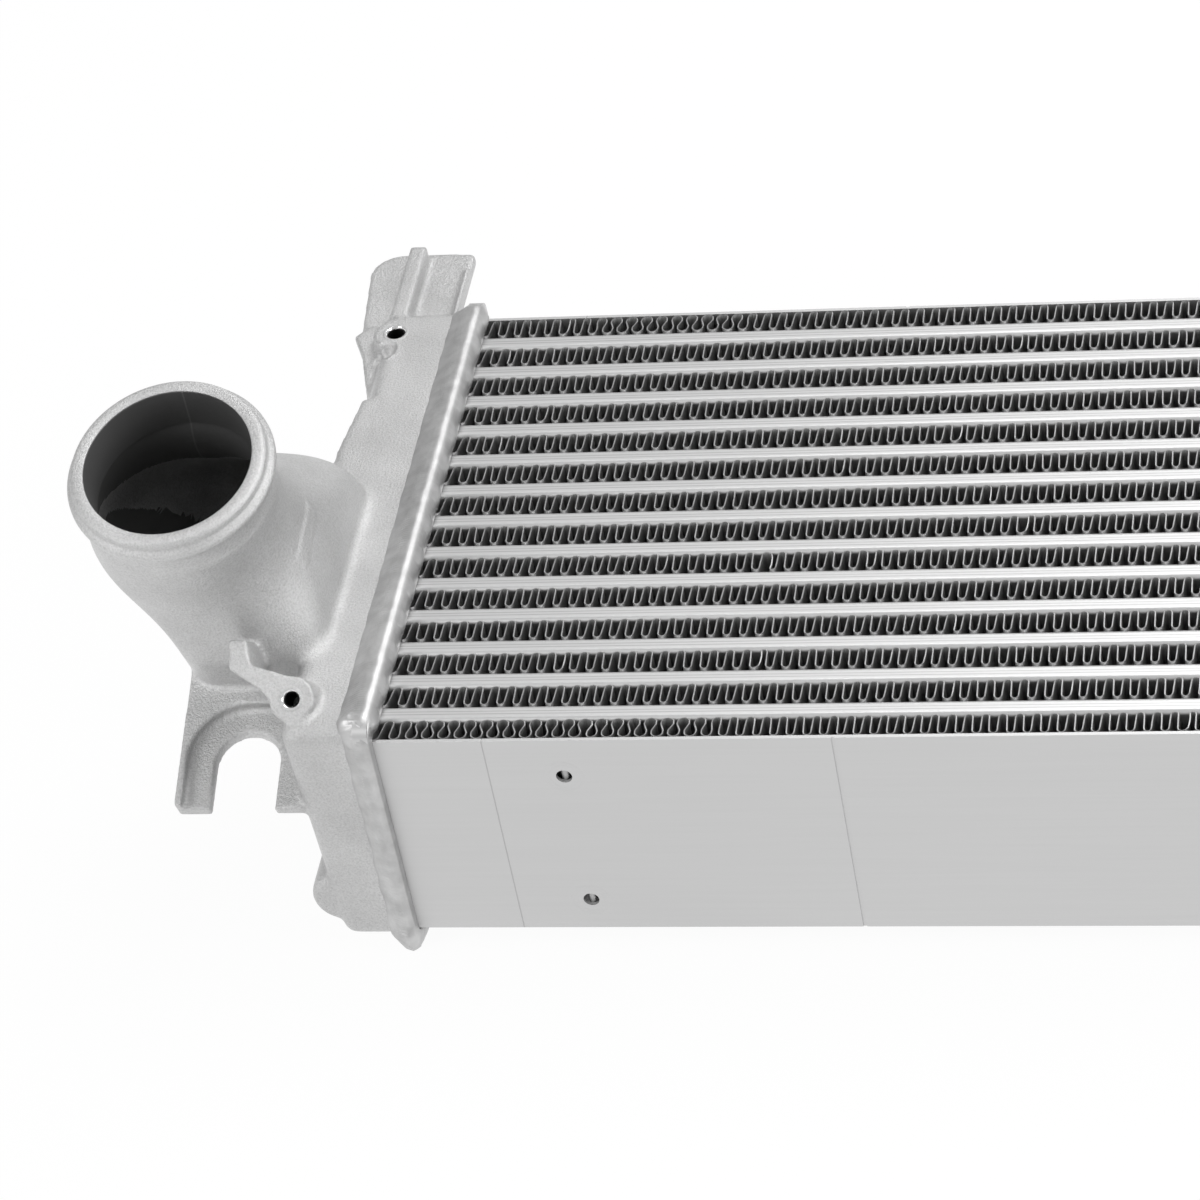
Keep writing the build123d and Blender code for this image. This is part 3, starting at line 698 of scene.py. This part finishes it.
duct_foot_up, fillet_reach = 5.5, 9
rounding = tank.vertex_groups.new(name="rounding")
foot_fillet = tank.vertex_groups.new(name="foot_fillet")
for vertex in tank.data.vertices:
    out, along, up = from_corner(vertex.co)
    by_forked_foot = along < 34 and up < 22 and not (out < 45 and up < -20)
    by_upper_boss = along > 222 and out > 22
    rounding.add([vertex.index], 0.25 if by_forked_foot or by_upper_boss else 1.0, "REPLACE")
    near_foot = abs(up - duct_foot_up)
    if 16 < out < 48 and 28 < along < 170 and near_foot < fillet_reach:
        foot_fillet.add([vertex.index], 1 - near_foot / fillet_reach, "REPLACE")
for name, group, rounds in (("foot", "foot_fillet", 45), ("all", "rounding", 12)):
    smooth = tank.modifiers.new(name, "SMOOTH")
    smooth.factor = 0.5
    smooth.iterations = rounds
    smooth.vertex_group = group
    bpy.ops.object.modifier_apply(modifier=name)
    print("smoothed", group, rounds, "times")

# %% [markdown]
# Two small things break the even skin of the casting: a low pad on the duct's side, and a round
# dish with a lip beside the upper boss.

# %% Raise the pad and press in the dish
pad_along, pad_up, pad_slope = 77.5, 39.2, 0.2
pad_half_length, pad_half_height, pad_edge, pad_rise = 13.5, 3.4, 0.8, 0.6
dish_out, dish_along, dish_radius, dish_depth = 39, 236.5, 5.0, 2.2
lip_radius, lip_half_width, lip_rise = 5.8, 1.7, 0.5
for vertex in tank.data.vertices:
    out, along, up = from_corner(vertex.co)
    beyond_length = abs(along - pad_along) - pad_half_length
    beyond_height = abs(up - pad_up - pad_slope * (along - pad_along)) - pad_half_height
    from_pad = max(beyond_length, beyond_height)
    if 28 < out < 38 and from_pad < pad_edge:
        vertex.co.x += pad_rise * MM * min(1.0, 1 - from_pad / pad_edge)
    from_dish = ((out - dish_out) ** 2 + (along - dish_along) ** 2) ** 0.5
    if up > -3 and from_dish < lip_radius + lip_half_width:
        dish = max(0.0, 1 - (from_dish / dish_radius) ** 2)
        lip = max(0.0, 1 - abs(from_dish - lip_radius) / lip_half_width)
        vertex.co.z += (lip_rise * lip - dish_depth * dish) * MM
print("points in the skin:", len(tank.data.vertices))

# %% [markdown]
# The even skin is too coarse for what a cutter made: the mouth of the hose port and the two tapped
# holes. The skin is cut away below the port's bead, opened round the holes, and each place gets a
# part turned from a profile, as on a lathe.


# %% Turn a profile
def turned(name, profile, place, axis, steps=128):
    """A lathe-turned ring from (radius, height) pairs in millimetres, standing on a place."""
    first_radius, first_height = profile[0]
    bpy.ops.mesh.primitive_circle_add(
        vertices=steps, radius=first_radius * MM, location=(0, 0, first_height * MM)
    )
    ring = bpy.context.object
    ring.name = name
    bpy.ops.object.transform_apply()
    bpy.ops.object.mode_set(mode="EDIT")
    bpy.ops.mesh.select_all(action="SELECT")
    for (radius, height), (next_radius, next_height) in zip(profile, profile[1:]):
        grow = next_radius / radius
        rise = (0, 0, (next_height - height) * MM)
        bpy.ops.mesh.extrude_region_move(TRANSFORM_OT_translate={"value": rise})
        bpy.ops.transform.resize(value=(grow, grow, 1), center_override=(0, 0, 0))
    bpy.ops.mesh.select_all(action="SELECT")
    bpy.ops.mesh.normals_make_consistent(inside=False)
    bpy.ops.object.mode_set(mode="OBJECT")
    turn_to_axis = Vector((0, 0, 1)).rotation_difference(axis).to_matrix().to_4x4()
    ring.data.transform(Matrix.Translation(place) @ turn_to_axis)
    ring.data.shade_smooth()
    return ring


# %% Cut the skin below the port's bead
port_place, port_lean = at(76, 60, 93), radians(15)
port_axis = Vector((0, -sin(port_lean), cos(port_lean)))
skin_end = 12
bpy.ops.object.select_all(action="DESELECT")
tank.select_set(True)
bpy.context.view_layer.objects.active = tank
bpy.ops.object.mode_set(mode="EDIT")
bpy.ops.mesh.select_all(action="SELECT")
bpy.ops.mesh.bisect(plane_co=port_place - port_axis * skin_end * MM, plane_no=port_axis, clear_outer=True)
bpy.ops.object.mode_set(mode="OBJECT")
print("faces below the bead:", len(tank.data.polygons))

# %% Open the skin round the tapped holes
boss_place, boss_lean = at(32.3, 11, 12), radians(40)
boss_axis = Vector((0, -sin(boss_lean), cos(boss_lean)))
upper_boss_place, upper_boss_axis = at(36.2, 248.5, 5.5), Vector((0, 0, 1))
opened_holes = ((boss_place, boss_axis, 3.3 * MM), (upper_boss_place, upper_boss_axis, 4.1 * MM))
opened_depth, opened_above = 12, 1
for place, axis, keep_clear in opened_holes:
    for vertex in tank.data.vertices:
        offset = vertex.co - place
        depth = offset.dot(axis)
        across = offset - axis * depth
        if -opened_depth * MM < depth < opened_above * MM and across.length < keep_clear:
            vertex.co += across.normalized() * (keep_clear - across.length)

# %% Thin the skin out
kept_faces = 72000
thin = tank.modifiers.new("thin", "DECIMATE")
thin.ratio = min(1.0, kept_faces / len(tank.data.polygons))
bpy.ops.object.modifier_apply(modifier="thin")
tank.data.shade_smooth()
print("faces kept:", len(tank.data.polygons))

# %% Turn the port's mouth and the mouths of the holes
port_profile = (
    (33.7, -21), (33.75, -1.0), (33.95, -0.3), (34.5, 0), (37.6, 0), (38.3, -0.15), (39.1, -0.7),
    (39.5, -1.6), (39.5, -3.2), (39.6, -3.9), (40.2, -4.5), (41.3, -5.2), (41.9, -6.2), (42.0, -7.4),
    (41.8, -8.6), (40.9, -9.5), (39.6, -10.1), (38.9, -10.8), (38.7, -12), (38.7, -15),
)
port_mouth = turned("port_mouth", port_profile, port_place, port_axis)


def tapped(name, drill, chamfer, depth, pitch, place, axis):
    """The mouth of a tapped hole: drill tip, ring grooves for the thread, chamfer and a thin land."""
    tip_radius, groove = 0.1, 0.5
    profile = [(tip_radius, -depth - drill * 0.5), (drill, -depth)]
    level = -depth + pitch
    while level < -chamfer - pitch:
        profile += [(drill, level), (drill + groove, level + pitch / 2)]
        level += pitch
    mouth = drill + chamfer
    profile += [(drill, -chamfer), (mouth, -0.02), (mouth + 0.12, 0.08)]
    profile += [(mouth + 1.3, 0.08), (mouth + 2.0, -0.8)]
    ring = turned(name, profile, place, axis, steps=48)
    finishes = (cast_aluminium, thread_painted_shade, cut_aluminium)
    for material in finishes:
        ring.data.materials.append(material)
    for polygon in ring.data.polygons:
        offset = polygon.center - place
        height = offset.dot(axis)
        radius = (offset - axis * height).length
        # Faces of the thread below the chamfer get the painted shade.
        if radius < drill * MM + 0.4 * MM and height < -chamfer * 0.9 * MM:
            polygon.material_index = finishes.index(thread_painted_shade)
        elif radius < (mouth + 0.06) * MM:
            polygon.material_index = finishes.index(cut_aluminium)
    return ring


lower_mouth = tapped("lower_mouth", 2.5, 1.1, 14, 1.0, boss_place, boss_axis)
upper_mouth = tapped("upper_mouth", 3.4, 0.9, 16, 1.25, upper_boss_place, upper_boss_axis)
print("turned", port_mouth.name, lower_mouth.name, upper_mouth.name)

# %% [markdown]
# Painted shade covers the wall of the bore and the duct's floor below it, and stops just under the
# rim. Each face is told by its place: how far below the rim and how far from the port's axis its
# centre lies, and which way it looks.

# %% Paint shade into the bore
shade_top, wall_reach, floor_reach = 0.6, 36, 34
for piece in (port_mouth, tank):
    piece.data.materials.clear()
    piece.data.materials.append(cast_aluminium)
    piece.data.materials.append(bore_shade)
    for polygon in piece.data.polygons:
        offset = polygon.center - port_place
        depth = offset.dot(port_axis)
        across = offset - port_axis * depth
        inward = -across.normalized().dot(polygon.normal)
        upward = polygon.normal.dot(port_axis)
        on_wall = across.length < wall_reach * MM and inward > 0.3
        on_floor = across.length < floor_reach * MM and upward > -0.1
        polygon.material_index = 1 if depth < -shade_top * MM and (on_wall or on_floor) else 0
print("oiled faces:", sum(p.material_index for p in tank.data.polygons))

# %% Join the casting
bpy.ops.object.select_all(action="DESELECT")
for piece in (port_mouth, lower_mouth, upper_mouth, tank):
    piece.select_set(True)
bpy.context.view_layer.objects.active = tank
bpy.ops.object.join()
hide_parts("inlet_tank")
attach(tank, "root")
print("triangles in the casting:", sum(len(p.vertices) - 2 for p in tank.data.polygons))

# %% [markdown]
# ## Weld
# The tank is joined to its header by one long hand-laid bead. Each time the welder dips the rod, a
# small crescent freezes, and the row of crescents looks like a feather. The bead is a strip that
# runs once round the rim, bulged across its width and rippled along its length. The ripples are
# 1.35 mm apart, so they are large enough to model.

# %% Path of the bead
rim_inset = 6.0
rim_low, rim_high = Vector((-2.0, -core_depth - 5.5)), Vector((core_width + 2.0, 5.5))
straights = (rim_high.x - rim_low.x - 2 * rim_inset, rim_high.y - rim_low.y - 2 * rim_inset)
quarter = pi / 2 * rim_inset
bead_length = 2 * sum(straights) + 4 * quarter


def rim_point(distance):
    """Place along and up, and the outward direction, at a distance round the tank's rim."""
    left, right = rim_low.x + rim_inset, rim_high.x - rim_inset
    low, high = rim_low.y + rim_inset, rim_high.y - rim_inset
    corners = (
        (Vector((right, low)), straights[0], Vector((1, 0)), Vector((0, -1))),
        (Vector((right, high)), straights[1], Vector((0, 1)), Vector((1, 0))),
        (Vector((left, high)), straights[0], Vector((-1, 0)), Vector((0, 1))),
        (Vector((left, low)), straights[1], Vector((0, -1)), Vector((-1, 0))),
    )
    for centre, run, ahead, outward in corners:
        if distance <= run:
            return centre - ahead * (run - distance) + outward * rim_inset, outward
        distance -= run
        if distance <= quarter:
            angle = distance / rim_inset
            outward = outward * cos(angle) + ahead * sin(angle)
            return centre + outward * rim_inset, outward
        distance -= quarter
    return rim_point(0)


print("bead length in mm:", round(bead_length))

# %% [markdown]
# The bead's section is a list of points, each so far out from the core's end and so far off the
# rim, from the tank's wall over the ridge to the header's edge. The welder's hand, the crescents
# and two heaps of metal then move those points: one heap where the bead was begun and ended, one
# at the lower corner of the near end.

# %% Section of the bead
bead_profile = (
    (13.6, -0.4), (12.8, 0.5), (11.4, 1.2), (9.6, 2.1), (7.8, 3.1), (6.2, 4.0), (4.6, 4.4), (3.5, 4.6),
    (2.6, 4.75), (1.8, 4.6), (0.9, 4.3), (0.0, 3.9), (-0.7, 2.8), (-1.4, 1.1), (-1.9, -0.9),
    (-1.9, -3.4), (-0.6, -5.2),
)
bead_steps, ripple_pitch, ripple_height = 2240, 1.35, 0.15
rippled_share, crescent_middle, crescent_bow = 0.62, 0.28, 18
ridge_out, flow_out, flow_middle, flow_reach = 2.7, 1.2, -0.8, 3.5
stop_along, stop_out, stop_reach, stop_height = 3.6, 10.4, 4.2, 2.6
corner_reach, corner_height = 10, 4.5
print("ripples:", round(bead_length / ripple_pitch))


# %% Move the points of the section
def hand_wobble(distance, across, near_side):
    """How much the crescents and an unsteady hand raise the bead, in millimetres."""
    if across >= rippled_share:
        return 0.0
    drift = 0.5 * noise.noise(Vector((distance / 5, 0, 0)))
    feather = distance / ripple_pitch - crescent_bow * (across - crescent_middle) ** 2 + drift
    swell = 0.25 * noise.noise(Vector((distance / 6, across * 3, 8.1)))
    lumps = 0.35 * near_side * noise.noise(Vector((distance / 3.5, across * 4, 4.4)))
    raised = ripple_height * sin(2 * pi * feather) + swell + lumps
    return raised * sin(pi * min(1.0, across / rippled_share))


def bead_point(distance, across):
    """A point of the bead: its distance round the rim, and its share of the way across."""
    out, lift = bead_profile[round(across * (len(bead_profile) - 1))]
    base, outward = rim_point(distance % bead_length)
    near_side, share_up = max(0.0, -outward.x), outward.y ** 2

    # On the two narrow ends the bead stands lower, and it laps less over the header.
    if lift > 0:
        lift *= 0.86 + 0.14 * share_up
    elif out < 5:
        lift *= 0.04 + 0.96 * share_up
    lift += hand_wobble(distance, across, near_side)
    if out < 0:
        out *= 0.3 + 0.7 * share_up

    # Over the tank its edge wanders, most on the near end, where the bead is narrower too.
    if out > ridge_out:
        out = ridge_out + (out - ridge_out) * (1 - 0.2 * near_side)
    wander = noise.noise(Vector((distance / 9, 3.3, 0)))
    out += (0.5 + 0.5 * near_side) * wander * max(0.0, 1 - across * 3)

    # At every row of fins, between two tubes, it flowed a little way towards the core.
    row_place = (base.x - fin_height / MM / 2) * MM / row_pitch
    scallop = max(0.0, cos(2 * pi * row_place)) ** 0.5 * share_up
    if out < 0.3:
        out -= flow_out * scallop * max(0.0, 1 - abs(lift - flow_middle) / flow_reach)

    # Two heaps: where the welder stopped, on the face's side, and at the lower near corner.
    if base.y > 0:
        from_stop = ((base.x - stop_along) ** 2 + (out - stop_out) ** 2) ** 0.5
        lift += stop_height * max(0.0, 1 - from_stop / stop_reach)
    from_low_corner = (base - rim_low).length
    corner_heap = corner_height * max(0.0, 1 - from_low_corner / corner_reach)
    lift += corner_heap * sin(pi * min(1.0, across * 1.1))
    flat = base + outward * lift
    return at(out, flat.x, flat.y)


# %% Lay the bead
bpy.ops.mesh.primitive_grid_add(x_subdivisions=bead_steps, y_subdivisions=len(bead_profile) - 1, size=1)
bead = bpy.context.object
bead.name = "inlet_weld_bead"
floor_clearance = 0.05 * MM
for vertex in bead.data.vertices:
    vertex.co = bead_point((vertex.co.x + 0.5) * bead_length, vertex.co.y + 0.5)
    vertex.co.z = max(vertex.co.z, cad_box[0][2] + floor_clearance)
bpy.ops.object.mode_set(mode="EDIT")
bpy.ops.mesh.select_all(action="SELECT")
bpy.ops.mesh.remove_doubles(threshold=0.01 * MM)
bpy.ops.object.mode_set(mode="OBJECT")
middle = bead.data.polygons[len(bead.data.polygons) // 2]
inside_weld = at(6, 130, -50)
if middle.normal.dot(middle.center - inside_weld) < 0:
    bead.data.flip_normals()
bead.data.shade_smooth()
bead.data.materials.append(weld_metal)
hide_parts("inlet_weld")
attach(bead, "root")
print("triangles in the bead:", sum(len(p.vertices) - 2 for p in bead.data.polygons))

# %% [markdown]
# ## The outlet end
# The outlet tank is the inlet tank seen in a mirror. Mirroring turns a mesh inside out, so its
# faces are flipped back.


# %% Mirror the inlet pieces
def mirrored(piece, name):
    """A copy of a piece at the outlet end, with its faces turned back outwards."""
    mesh = piece.data.copy()
    mesh.transform(Matrix.Scale(-1, 4, (1, 0, 0)))
    mesh.flip_normals()
    copy = bpy.data.objects.new(name, mesh)
    bpy.context.scene.collection.objects.link(copy)
    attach(copy, "root")
    return copy


outlet = mirrored(tank, "outlet_tank_casting")
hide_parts("outlet_tank")
outlet_bead = mirrored(bead, "outlet_weld_bead")
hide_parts("outlet_weld")
print("mirrored", outlet.name, "and", outlet_bead.name)
